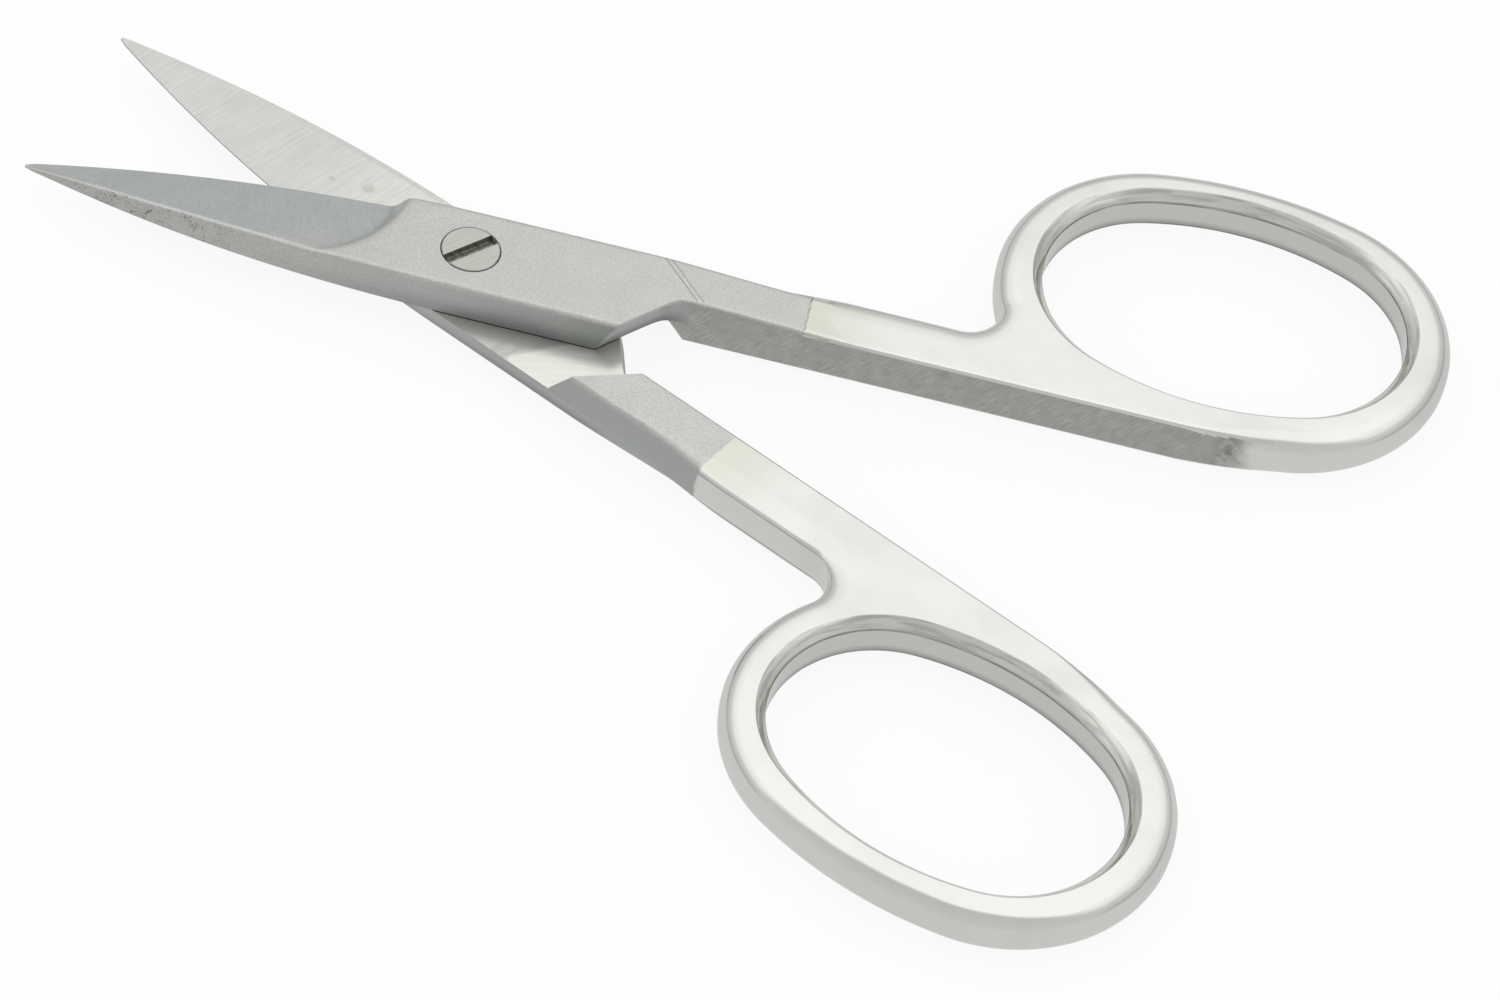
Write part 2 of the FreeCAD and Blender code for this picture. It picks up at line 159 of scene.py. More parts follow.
def bladeSection(x):
    base = blade["faceLevel"]
    near, far = nearSide(x, base), float(edgeLine(x))
    height = float(topHeight(x, nearSide(x, blankHeight(x))))
    ridgeY = float(nearSide(x, height))
    widest = blade["widthShare"] * (far - near)
    ridge = min(blade["ridgeRound"], blade["ridgeShare"] * (height - base), widest)
    farTop = float(topHeight(x, far))
    farTop = float(topHeight(x, far - blade["edgeDraft"] * (farTop - base)))
    farTopY = far - blade["edgeDraft"] * (farTop - base)
    corner = min(blade["farRound"], blade["farShare"] * (farTop - base), widest)
    sideLevels = np.linspace(base, height - ridge, blade["sidePoints"])
    side = np.column_stack([nearSide(x, sideLevels), sideLevels])
    topY = np.linspace(ridgeY + ridge, farTopY - corner, blade["topPoints"])
    top = np.column_stack([topY, topHeight(x, topY)])
    ridgeCorner = roundedCorner(side[-1], (ridgeY, height), top[0], blade["ridgePoints"])[1:-1]
    down = np.array([farTopY + blade["edgeDraft"] * corner, farTop - corner])
    farCorner = roundedCorner(top[-1], (farTopY, farTop), down, blade["farPoints"])[1:-1]
    farLevels = np.linspace(down[1], base, blade["edgePoints"])
    farSide = np.column_stack([far - blade["edgeDraft"] * (farLevels - base), farLevels])
    return np.vstack([side, ridgeCorner, top, farCorner, farSide])


def bladeShell():
    starts = [start for start, count in blade["spans"]] + [blade["rear"]]
    stations = [np.linspace(start, end, count, endpoint=False)
                for (start, count), end in zip(blade["spans"], starts[1:])]
    stations = np.append(np.concatenate(stations), blade["rear"])
    sections = [bladeSection(float(x)) for x in stations]
    around = len(sections[0])
    mesh = bmesh.new()
    rows = [[mesh.verts.new((x, y, z)) for y, z in section] for x, section in zip(stations, sections)]
    for station, row, further in zip(stations, rows, rows[1:]):
        for here in range(around):
            beside = (here + 1) % around
            face = mesh.faces.new((row[here], further[here], further[beside], row[beside]))
            if here == around - 1:
                face.material_index = innerFaceSlot
            elif here < blade["sidePoints"] - 1 and station > blade["groundFrom"]:
                face.material_index = groundSideSlot
    mesh.faces.new(rows[0])
    mesh.faces.new(rows[-1])
    bmesh.ops.recalc_face_normals(mesh, faces=mesh.faces)
    return mesh


def grindShare(x, y, z):  # 1 on the ground hollow of the blade, 0 elsewhere
    atRunout = smoothStep(blade["roundFrom"], blade["roundTo"], x)
    deep = smoothStep(0.0, blade["grindBlend"] + blade["runoutBlend"] * atRunout, rampTop(x, y) - z)
    offSpine = smoothStep(*blade["spineBlend"], y - nearSide(x, z))
    return deep * offSpine * (x < blade["grindEnd"]) * (z > 0.5 * blade["edgeLand"])


# Painted shade: the finish paints the upright sides darker by this share
def paintedSideShade(x, y, z):  # 1 on the upright sides of plate and shank, fading towards the tip
    top = np.where(z < 0, handle["height"], rampTop(x, y))
    below = smoothStep(*blade["sideBlend"], top - np.abs(z))
    return below * (1 - grindShare(x, y, z)) * smoothStep(*blade["sideFade"], x)


# Shank and finger ring of one half
handle = {
    "innerSide": 0.08, "outerSide": 3.95, "height": 1.63,
    "frontReach": 13.4, "frontSlant": 0.896, "frontLean": 0.5,
    "draftStart": 14.0, "draftEnd": 24.0, "draft": 0.33, "draftSide": 4.03,
    "ringX": 46.6, "ringY": 11.155, "ringTilt": math.radians(-2.8),
    "ringLength": 14.68, "ringWidth": 11.175, "ringEnd": 10.67, "ringSoft": 0.02, "ringOverlap": 0.06,
    "holeY": 11.38, "holeLength": 11.43, "holeWidth": 8.15, "holeEnd": 7.42,
    "holeWaist": 0.33, "holeFlare": 0.7, "flareHeight": 0.68, "flarePower": 1.8,
    "crotch": 2.4, "crotchSink": 0.02, "crotchSoft": 0.02,
    "flatEdge": 0.26, "shankEdge": 1.6, "shankEdgeHeight": 0.5, "ringEdge": 1.35, "ringEdgeHeight": 1.45,
    "flatEnd": 45.5, "roundStart": 52.5, "ringFromY": 3.0, "fadeBefore": 22, "fadeAfter": 6,
    "innerStart": 13.0, "innerFrom": 15.5, "innerTo": 45.0, "innerPoints": 30,
    "outerGap": 0.5, "outerTo": 12.0, "outerEnd": 9.0, "outerPoints": 40,
    "ringPoints": 190, "crotchPoints": 22, "edgePoints": 9, "holePoints": 200, "flarePoints": 12,
    "groundPoints": 22, "groundMargin": 1.2, "weld": 1e-5,
}


def oval(angles, centre, tilt, length, width, end):  # two end arcs and two side arcs, by the normal's angle
    reach = length - end
    sideRadius = (reach ** 2 + width ** 2 - end ** 2) / (2 * (width - end))
    turn = math.atan2(sideRadius - width, reach)
    local = angles - tilt
    onSide = np.abs(np.sin(local)) > math.sin(turn)
    radius = np.where(onSide, sideRadius, end)
    middleX = np.where(onSide, 0.0, np.sign(np.cos(local)) * reach)
    middleY = np.where(onSide, -np.sign(np.sin(local)) * (sideRadius - width), 0.0)
    x, y = middleX + radius * np.cos(local), middleY + radius * np.sin(local)
    cos, sin = math.cos(tilt), math.sin(tilt)
    return np.column_stack([centre[0] + cos * x - sin * y, centre[1] + sin * x + cos * y])


def handleOutline():
    tilt, reach = handle["ringTilt"], handle["ringLength"] - handle["ringEnd"]
    endX = handle["ringX"] - reach * math.cos(tilt)
    endY = handle["ringY"] - reach * math.sin(tilt)
    crotchY = handle["outerSide"] + handle["crotch"] - handle["crotchSink"]
    spread = handle["ringEnd"] + handle["crotch"] - handle["crotchSink"]
    crotchX = endX - math.sqrt(spread ** 2 - (endY - crotchY) ** 2)
    meeting = math.atan2(endY - crotchY, endX - crotchX)
    innerX = np.linspace(handle["innerFrom"], handle["innerTo"], handle["innerPoints"])
    innerX = np.concatenate([[handle["innerStart"]], innerX])
    inner = np.column_stack([innerX, np.full(len(innerX), handle["innerSide"])])
    ringAngles = np.linspace(-math.pi / 2 - handle["ringOverlap"], math.pi + meeting, handle["ringPoints"])
    ring = oval(ringAngles, (handle["ringX"], handle["ringY"]), tilt,
                handle["ringLength"], handle["ringWidth"], handle["ringEnd"])
    lifted = softMax(ring[:, 1], handle["innerSide"], handle["ringSoft"])
    ring[:, 1] = np.where(ringAngles < 0, lifted, ring[:, 1])
    crotchAngles = np.linspace(meeting, -math.pi / 2, handle["crotchPoints"])[1:]
    crotch = np.column_stack([crotchX + handle["crotch"] * np.cos(crotchAngles),
                              crotchY + handle["crotch"] * np.sin(crotchAngles)])
    crotch[:, 1] = softMax(crotch[:, 1], handle["outerSide"], handle["crotchSoft"])
    outerX = np.linspace(crotchX - handle["outerGap"], handle["outerTo"], handle["outerPoints"])
    outerX = np.concatenate([outerX, [handle["outerEnd"]]])
    front = 1 - smoothStep(handle["draftStart"], handle["draftEnd"], outerX)
    outerY = handle["outerSide"] + (handle["draftSide"] - handle["outerSide"]) * front
    points = np.vstack([inner, ring, crotch, np.column_stack([outerX, outerY])])
    ends = np.cumsum([len(inner), len(ring), len(crotch), len(outerX)])
    return points, ends


def handleEdges(points, ends):  # size of the rounded edge at each point, and where the side is drafted
    index = np.arange(len(points))
    toRing = smoothStep(handle["flatEnd"], handle["roundStart"], points[:, 0])
    toRing = np.where(points[:, 1] > handle["ringFromY"], 1.0, toRing)
    toShank = smoothStep(ends[1] - handle["fadeBefore"], ends[2] + handle["fadeAfter"], index)
    inset = handle["flatEdge"] + (handle["ringEdge"] - handle["flatEdge"]) * toRing
    inset = inset + (handle["shankEdge"] - inset) * toShank
    rise = handle["flatEdge"] + (handle["ringEdgeHeight"] - handle["flatEdge"]) * toRing
    rise = rise + (handle["shankEdgeHeight"] - rise) * toShank
    drafted = (1 - smoothStep(handle["draftStart"], handle["draftEnd"], points[:, 0])) * (index >= ends[2])
    rise = rise + (handle["height"] - rise) * drafted
    return inset, rise, drafted


def outerWall(mesh, points, ends):
    inset, rise, drafted = handleEdges(points, ends)
    along = np.gradient(points, axis=0)
    along /= np.linalg.norm(along, axis=1)[:, None]
    outward = np.column_stack([along[:, 1], -along[:, 0]])
    quarter = np.linspace(0.0, math.pi / 2, handle["edgePoints"])
    rows = []
    for turn in np.concatenate([-quarter[::-1], quarter]):
        level = np.sign(turn) * ((handle["height"] - rise) + rise * abs(math.sin(turn)))
        drawnIn = inset * (1 - math.cos(turn))
        drawnIn = drawnIn + (handle["draft"] * np.abs(level) - drawnIn) * drafted
        place = points - outward * drawnIn[:, None]
        lean = handle["frontLean"] * np.maximum(-level, 0.0)
        for end in (0, -1):
            place[end, 0] = handle["frontReach"] + lean[end] - handle["frontSlant"] * place[end, 1]
        rows.append([mesh.verts.new((*xy, z)) for xy, z in zip(place, level)])
    for low, high in zip(rows, rows[1:]):
        for here in range(len(low)):
            beside = (here + 1) % len(low)
            face = mesh.faces.new((low[here], low[beside], high[beside], high[here]))
            flatTo = handle["height"] - handle["groundMargin"] * handle["flatEdge"]
            if abs(face.calc_center_median().z) < flatTo and here < ends[0] + handle["groundPoints"]:
                face.material_index = groundSideSlot
    return rows


def holeWalls(mesh):
    angles = np.linspace(0.0, 2 * math.pi, handle["holePoints"], endpoint=False)
    loop = oval(angles, (handle["ringX"], handle["holeY"]), handle["ringTilt"],
                handle["holeLength"], handle["holeWidth"], handle["holeEnd"])
    outward = np.column_stack([np.cos(angles), np.sin(angles)])
    turns = np.linspace(0.0, math.pi / 2, handle["flarePoints"])
    levels = handle["height"] - handle["flareHeight"] * (1 - np.sin(turns) ** handle["flarePower"])
    flares = handle["holeWaist"] + handle["holeFlare"] * (1 - np.cos(turns) ** handle["flarePower"])
    upper = list(zip(levels, flares))
    profile = [(-level, flare) for level, flare in upper[::-1]] + upper
    rows = [[mesh.verts.new((*xy, level)) for xy in loop + outward * flare] for level, flare in profile]
    for low, high in zip(rows, rows[1:]):
        for here in range(len(low)):
            beside = (here + 1) % len(low)
            face = mesh.faces.new((low[here], high[here], high[beside], low[beside]))
            face.material_index = holeWallSlot
    return rows


def handleShell():
    mesh = bmesh.new()
    outerRows = outerWall(mesh, *handleOutline())
    holeRows = holeWalls(mesh)
    for outer, hole in ((outerRows[0], holeRows[0]), (outerRows[-1], holeRows[-1])):
        verts = outer + hole
        for corners in tessellate_polygon([[vert.co for vert in outer], [vert.co for vert in hole]]):
            mesh.faces.new([verts[corner] for corner in corners])
    bmesh.ops.remove_doubles(mesh, verts=mesh.verts, dist=handle["weld"])
    bmesh.ops.recalc_face_normals(mesh, faces=mesh.faces)
    return mesh


def lathe(profile, sides):  # closed solid of revolution, with its axis along Z
    mesh = bmesh.new()
    angles = np.linspace(0.0, 2 * math.pi, sides, endpoint=False)
    rings = [[mesh.verts.new((radius * math.cos(angle), radius * math.sin(angle), z)) for angle in angles]
             for radius, z in profile]
    for low, high in zip(rings, rings[1:]):
        for here in range(sides):
            beside = (here + 1) % sides
            mesh.faces.new((low[here], low[beside], high[beside], high[here]))
    mesh.faces.new(rings[0])
    mesh.faces.new(rings[-1])
    bmesh.ops.recalc_face_normals(mesh, faces=mesh.faces)
    return mesh


def makeObject(name, shape, materials=()):
    data = bpy.data.meshes.new(name)
    shape.to_mesh(data)
    shape.free()
    for material in materials:
        data.materials.append(material)
    made = bpy.data.objects.new(name, data)
    bpy.context.scene.collection.objects.link(made)
    return made


def combine(first, second, operation):  # boolean of two shells, left in the first one
    change = first.modifiers.new("combine", "BOOLEAN")
    change.operation = operation
    change.solver = "EXACT"
    change.object = second
    bpy.context.view_layer.update()
    result = bpy.data.meshes.new_from_object(first.evaluated_get(bpy.context.evaluated_depsgraph_get()))
    first.modifiers.clear()
    first.data = result
    bpy.data.objects.remove(second)


def smoothFaces(made):
    made.data.shade_smooth()
    made.data.set_sharp_from_angle(angle=sharpAngle)
    made.modifiers.new("normals", "WEIGHTED_NORMAL").keep_sharp = True


# The pivot screw and the holes that it runs in
screw = {
    "headRadius": 1.85, "headTop": 2.13, "headHeight": 1.0, "headClearance": 0.05, "headEdge": 0.05,
    "shoulderRadius": 1.2, "running": 0.03, "threadRadius": 1.0, "endEdge": 0.07,
    "slotWidth": 0.78, "slotDepth": 0.55, "slotAngle": math.radians(59), "holeEdge": 0.05,
    "sides": 128, "holeSides": 96, "holePast": 1.0,
}


def screwHole(half):
    top, past = blade["thickness"], screw["holePast"]
    if half == "upper":
        seat = screw["headTop"] - screw["headHeight"]
        bore = screw["shoulderRadius"] + screw["running"]
        recess = screw["headRadius"] + screw["headClearance"]
        mouth = recess + screw["holeEdge"]
        profile = [(bore, -past), (bore, seat), (recess, seat), (recess, top - screw["holeEdge"]),
                   (mouth, top), (mouth, top + past)]
    else:
        thread = screw["threadRadius"]
        mouth = thread + screw["endEdge"]
        profile = [(thread, -past), (thread, top - screw["endEdge"]), (mouth, top), (mouth, top + past)]
    return makeObject("holeCutter", lathe(profile, screw["holeSides"]), halfFinishes)


def makeHalf(half):
    made = makeObject(half + "Half", bladeShell(), halfFinishes)
    combine(made, screwHole(half), "DIFFERENCE")
    combine(made, makeObject("handle", handleShell(), halfFinishes), "UNION")
    data = made.data
    places = np.empty(len(data.vertices) * 3, np.float32)
    data.vertices.foreach_get("co", places)
    lying = data.attributes.new("lyingPlace", "FLOAT_VECTOR", "POINT")  # place on the shut half
    lying.data.foreach_set("vector", places)
    x, y, z = places[0::3], places[1::3], places[2::3]
    # side marks the upright sides, and down and low how far down a point lies at rest; the finishes paint
    # shade from them
    zones = {"grind": grindShare(x, y, z), "side": paintedSideShade(x, y, z), "edgeGap": edgeLine(x) - y,
             "spineGap": y - spineLine(x), "low": z if half == "lower" else -z,
             "down": (z if half == "lower" else blade["thickness"] - z) / blade["thickness"]}
    for name, values in zones.items():
        zone = data.attributes.new(name, "FLOAT", "POINT")
        zone.data.foreach_set("value", values.astype(np.float32))
    data.transform(halfPlaces[half] @ toMetres)
    smoothFaces(made)
    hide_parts(half + "_half")
    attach(made, half)
    print(half, "half:", len(data.polygons), "faces")


def makeScrew():
    top, bottom = screw["headTop"], -blade["thickness"]
    seat, edge = top - screw["headHeight"], screw["headEdge"]
    head, shoulder, thread = screw["headRadius"], screw["shoulderRadius"], screw["threadRadius"]
    profile = [(thread - screw["endEdge"], bottom), (thread, screw["endEdge"] + bottom), (thread, 0.0),
               (shoulder, 0.0), (shoulder, seat), (head - edge, seat), (head, seat + edge),
               (head, top - edge), (head - edge, top)]
    made = makeObject("pivotScrew", lathe(profile, screw["sides"]))
    slot = bmesh.new()
    slotSize = Matrix.Diagonal((4 * head, screw["slotWidth"], 2 * screw["slotDepth"], 1))
    slotPlace = Matrix.Translation((0, 0, top)) @ Matrix.Rotation(screw["slotAngle"], 4, "Z")
    bmesh.ops.create_cube(slot, size=1.0, matrix=slotPlace @ slotSize)
    combine(made, makeObject("slotCutter", slot), "DIFFERENCE")
    made.data.transform(liftToPivot @ toMetres)
    smoothFaces(made)
    made.data.materials.append(screwSteel())
    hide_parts("pivot_screw")
    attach(made, "lower")
    print("pivot screw:", len(made.data.polygons), "faces")


class Wire:  # an output socket that works in Python sums
    def __init__(self, graph, socket):
        self.graph = graph
        self.socket = socket

    def also(self, output):  # another output of the same node
        return Wire(self.graph, self.socket.node.outputs[output])

    def maths(self, operation, first, second):
        return self.graph.node("Math", {"operation": operation}, {0: first, 1: second})

    def __add__(self, other):
        return self.maths("ADD", self, other)

    __radd__ = __add__

    def __sub__(self, other):
        return self.maths("SUBTRACT", self, other)

    def __rsub__(self, other):
        return self.maths("SUBTRACT", other, self)

    def __mul__(self, other):
        return self.maths("MULTIPLY", self, other)

    __rmul__ = __mul__

    def __abs__(self):
        return self.larger(self * -1.0)

    def larger(self, other):
        return self.maths("MAXIMUM", self, other)

    def toward(self, other, share):  # this value at share 0, the other at share 1
        return self + (other - self) * share

    def step(self, low, high):  # 0 below low, 1 above high, smooth between
        return self.graph.node("MapRange", {"interpolation_type": "SMOOTHSTEP"}, {0: self, 1: low, 2: high})


class Graph:  # the nodes of one material or world
    def __init__(self, owner):
        owner.use_nodes = True
        self.owner = owner
        self.tree = owner.node_tree
        self.tree.nodes.clear()

    def node(self, kind, settings, sockets, output=0):
        made = self.tree.nodes.new("ShaderNode" + kind)
        for name, value in settings.items():
            setattr(made, name, value)
        for name, value in sockets.items():
            if isinstance(value, Wire):
                self.tree.links.new(value.socket, made.inputs[name])
            else:
                made.inputs[name].default_value = value
        return Wire(self, made.outputs[output]) if made.outputs else None

    def lying(self):  # place on the shut half, in millimetres
        return self.node("Attribute", {"attribute_name": "lyingPlace"}, {}, "Vector")

    def zone(self, name):
        return self.node("Attribute", {"attribute_name": name}, {}, "Fac")

    def parts(self, vector):
        split = self.node("SeparateXYZ", {}, {0: vector})
        return split, split.also(1), split.also(2)

    def noise(self, vector, scale, detail=2.0):
        return self.node("TexNoise", {}, {"Vector": vector, "Scale": scale, "Detail": detail})

    def brushed(self, vector, turn, fine, long):  # noise drawn out along one direction
        turned = self.node("Mapping", {"vector_type": "TEXTURE"},
                           {"Vector": vector, "Rotation": turn, "Scale": (1 / long, 1 / fine, 1 / fine)})
        return self.noise(turned, 1.0, 3.0)

    def colour(self, factor, first, second):
        return self.node("Mix", {"data_type": "RGBA"}, {0: factor, 6: first, 7: second}, 2)

    def bump(self, height, depth):
        return self.node("Bump", {}, {"Strength": 1.0, "Distance": depth * millimetre, "Height": height})

    def surface(self, shader):
        self.node("OutputMaterial", {}, {"Surface": shader})
        return self.owner

    def steel(self, colour, roughness, normal):
        return self.surface(self.node("BsdfPrincipled", {}, {"Base Color": colour, "Metallic": 1.0,
                                                             "Roughness": roughness, "Normal": normal}))


def startMaterial(name):
    return Graph(bpy.data.materials.new(name))


# Blasted in front, mirror polished behind, with a satin bevel and dark pits on the spine near the tip,
# painted shade on the upright sides and a painted dark reflection on the polished shank
forged = {
    "blasted": (0.71, 0.72, 0.69, 1), "blastedDark": (0.56, 0.57, 0.545, 1), "side": (0.44, 0.465, 0.455, 1),
    "bevel": (0.67, 0.70, 0.695, 1), "bevelDark": (0.56, 0.59, 0.585, 1), "pit": (0.10, 0.11, 0.10, 1),
    "polished": (0.86, 0.87, 0.83, 1), "polishStart": (0.75, 0.765, 0.675, 1), "haze": (0.70, 0.73, 0.70, 1),
    "darkReflection": (0.26, 0.27, 0.25, 1), "paintedSideShade": 0.7, "pitShare": 0.7, "darkReflectionShare": 0.6,
    # painted shade towards the lower edges of the plates' sides
    "lowShadeColour": (0.13, 0.14, 0.137, 1), "lowShadeEdge": (0.35, 1.05), "lowShadeEnd": (12.5, 15.0), "lowShadeShare": 0.7,
    "blastedRough": 0.48, "grainRough": 0.18, "bevelRough": 0.34, "lineRough": 0.1,
    "polishedRough": 0.07, "scratchRough": 0.05,
    "grainScale": 9.0, "cloudScale": 0.55, "waveScale": 0.28, "wanderScale": 1.2,
    "grainShade": 1.2, "cloudShade": 0.2, "alongShade": 0.005,
    "shadeOffset": -0.22, "shadeEdge": (0.25, 0.75),
    "grindLines": ((0.0, 0.0, math.radians(97)), 6.0, 0.3), "scratches": ((0.0, 0.0, 0.12), 9.0, 0.35),
    "lineShade": 0.6, "satinCloud": 0.3, "satinGrain": 0.7, "satinOffset": -0.25, "satinEdge": (0.3, 0.8),
    "polishFrom": 21.4, "polishBlend": 0.12, "polishWander": 0.25, "mirrorFrom": 28.5, "flatTop": (1.2, 1.5),
    "hazeScale": 0.17, "hazeEdge": (0.4, 0.75), "hazeShare": 0.45,
    "scratchEdge": (0.05, 0.3), "scratchShare": 0.2,
    # where the painted dark reflection lies on the polished shank
    "rimLevel": 1.1, "rimEdge": (0.02, 0.11), "rimSide": (3.2, 3.6), "rimEnd": (30.0, 32.5),
    "pitsStart": (-26.5, -23.5), "pitsEnd": (-17.5, -13.5), "clusterScale": 0.9, "clusterEdge": (0.36, 0.58),
    "pitScale": 7.5, "pitEdge": (0.5, 0.64), "pitDepth": 0.8,
    "grainDepth": 0.010, "lineDepth": 0.002, "waveDepth": 0.06, "scratchDepth": 0.0003,
    "creaseDepth": 0.042, "creaseGap": 0.45, "creaseWidth": 0.12, "creaseTop": (1.0, 1.3),
}


def forgedSteel():
    graph = startMaterial("forgedSteel")
    place = graph.lying()
    along, across, up = graph.parts(place)
    bevel = graph.zone("grind")
    grain = graph.noise(place, forged["grainScale"], 3.0)
    cloud = graph.noise(place, forged["cloudScale"], 3.0)
    scratches = graph.brushed(place, *forged["scratches"])
    grindLines = graph.brushed(place, *forged["grindLines"])
    pitted = along.step(*forged["pitsStart"]) * (1 - along.step(*forged["pitsEnd"]))
    clusters = graph.noise(place, forged["clusterScale"]).step(*forged["clusterEdge"])
    pits = graph.noise(place, forged["pitScale"], 4.0).step(*forged["pitEdge"])
    pits = pits * clusters * pitted * (1 - bevel)

    shade = grain * forged["grainShade"] + cloud * forged["cloudShade"] + along * forged["alongShade"]
    shade = (shade + forged["shadeOffset"]).step(*forged["shadeEdge"])
    blasted = graph.colour(shade, forged["blastedDark"], forged["blasted"])
    # Painted shade: the upright sides mixed towards a darker colour
    side = graph.zone("side")
    # Painted shade: the plates' sides darker still towards their lower edges at rest, not on the shanks
    paintedLowShade = side * graph.zone("down").step(*forged["lowShadeEdge"]) * (1 - along.step(*forged["lowShadeEnd"]))
    blasted = graph.colour(side * forged["paintedSideShade"], blasted, forged["side"])
    blasted = graph.colour(paintedLowShade * forged["lowShadeShare"], blasted, forged["lowShadeColour"])
    blasted = graph.colour(pits * forged["pitShare"], blasted, forged["pit"])

    shade = grindLines * forged["lineShade"] + cloud * forged["satinCloud"] + grain * forged["satinGrain"]
    shade = (shade + forged["satinOffset"]).step(*forged["satinEdge"])
    satin = graph.colour(shade, forged["bevelDark"], forged["bevel"])

    level = abs(up)
    starting = (1 - along.step(forged["polishFrom"], forged["mirrorFrom"])) * level.step(*forged["flatTop"])
    haze = graph.noise(place, forged["hazeScale"], 3.0).step(*forged["hazeEdge"]) * forged["hazeShare"]
    haze = haze + (scratches - 0.5).step(*forged["scratchEdge"]) * forged["scratchShare"]
    mirror = graph.colour(haze, forged["polished"], forged["haze"])
    mirror = graph.colour(starting, mirror, forged["polishStart"])
    # Painted reflection: a dark band on the polished shank's outer side, where the flat side meets the
    # rounded edge
    darkReflection = 1 - abs(level - forged["rimLevel"]).step(*forged["rimEdge"])
    darkReflection = darkReflection * across.step(*forged["rimSide"]) * (1 - along.step(*forged["rimEnd"]))
    mirror = graph.colour(darkReflection * forged["darkReflectionShare"], mirror, forged["darkReflection"])

    wander = (graph.noise(place, forged["wanderScale"]) - 0.5) * forged["polishWander"]
    polish = (along + wander - forged["polishFrom"]).step(-forged["polishBlend"], forged["polishBlend"])
    colour = graph.colour(polish, graph.colour(bevel, blasted, satin), mirror)
    blastedRough = forged["blastedRough"] + (grain - 0.5) * forged["grainRough"]
    bevelRough = forged["bevelRough"] + (grindLines - 0.5) * forged["lineRough"]
    mirrorRough = forged["polishedRough"] + (scratches - 0.5) * forged["scratchRough"]
    roughness = blastedRough.toward(bevelRough, bevel).toward(mirrorRough, polish)

    relief = (grain - pits * forged["pitDepth"]) * (1 - bevel) * forged["grainDepth"]
    relief = relief + grindLines * bevel * forged["lineDepth"]
    crease = along + across * blade["endSlant"] - blade["creaseReach"]
    ledges = crease.step(0.0, forged["creaseWidth"])
    ledges = ledges + (crease - forged["creaseGap"]).step(0.0, forged["creaseWidth"])
    relief = relief - ledges * up.step(*forged["creaseTop"]) * forged["creaseDepth"]
    waves = graph.noise(place, forged["waveScale"], 1.0) * forged["waveDepth"]
    relief = relief.toward(waves + scratches * forged["scratchDepth"], polish)
    return graph.steel(colour, roughness, graph.bump(relief, 1.0))


# Inner faces: brushed across on the blade, slantwise on the pad round the pivot, with painted shade beside
# the pad where the other half's plate lies over it
innerGrind = {
    "light": (0.74, 0.745, 0.71, 1), "dark": (0.60, 0.605, 0.575, 1), "padLight": (0.86, 0.86, 0.80, 1),
    "stain": (0.44, 0.42, 0.34, 1), "edge": (0.22, 0.22, 0.20, 1), "shade": (0.40, 0.405, 0.39, 1),
    "stains": [(-9.0, -1.1, 0.62), (-11.2, -0.2, 0.3), (6.2, 3.9, 0.4)],  # place and radius
    "stainShare": 0.4, "stainCore": 0.3, "stainScale": 3.0,
    "roughness": 0.24, "lineRough": 0.16, "lineDepth": 0.0025,
    "padReach": 8.5, "padSlant": 0.6, "padBlend": 0.3, "padLines": ((0.0, 0.0, math.radians(-42)), 5.0, 0.22),
    "crossLines": ((0.0, 0.0, math.radians(97)), 16.0, 0.4),
    "scratches": ((0.0, 0.0, math.radians(97)), 5.0, 0.5), "scratchEdge": (0.64, 0.76),
    "borderEdge": (0.25, 0.5), "borderStart": (-20.0, -8.0), "borderEnd": (-6.0, -1.0),
    # painted shade where the other half's plate lies over the face
    "underStart": (0.0, 3.0), "underEdge": (0.2, 0.8), "underShadeShare": 0.8,
    "brightStart": (-13.0, -4.0), "bladeBright": 0.6,
    "cutEdge": (0.03, 0.1), "cutEnd": (-6.0, -4.0), "cutShare": 0.8,
    "cloudScale": 0.4, "lineShade": 1.1, "cloudShade": 0.4, "borderShade": -0.3, "scratchShade": -0.35,
    "brightShade": 0.3, "shadeOffset": -0.25, "shadeEdge": (0.1, 0.9),
}


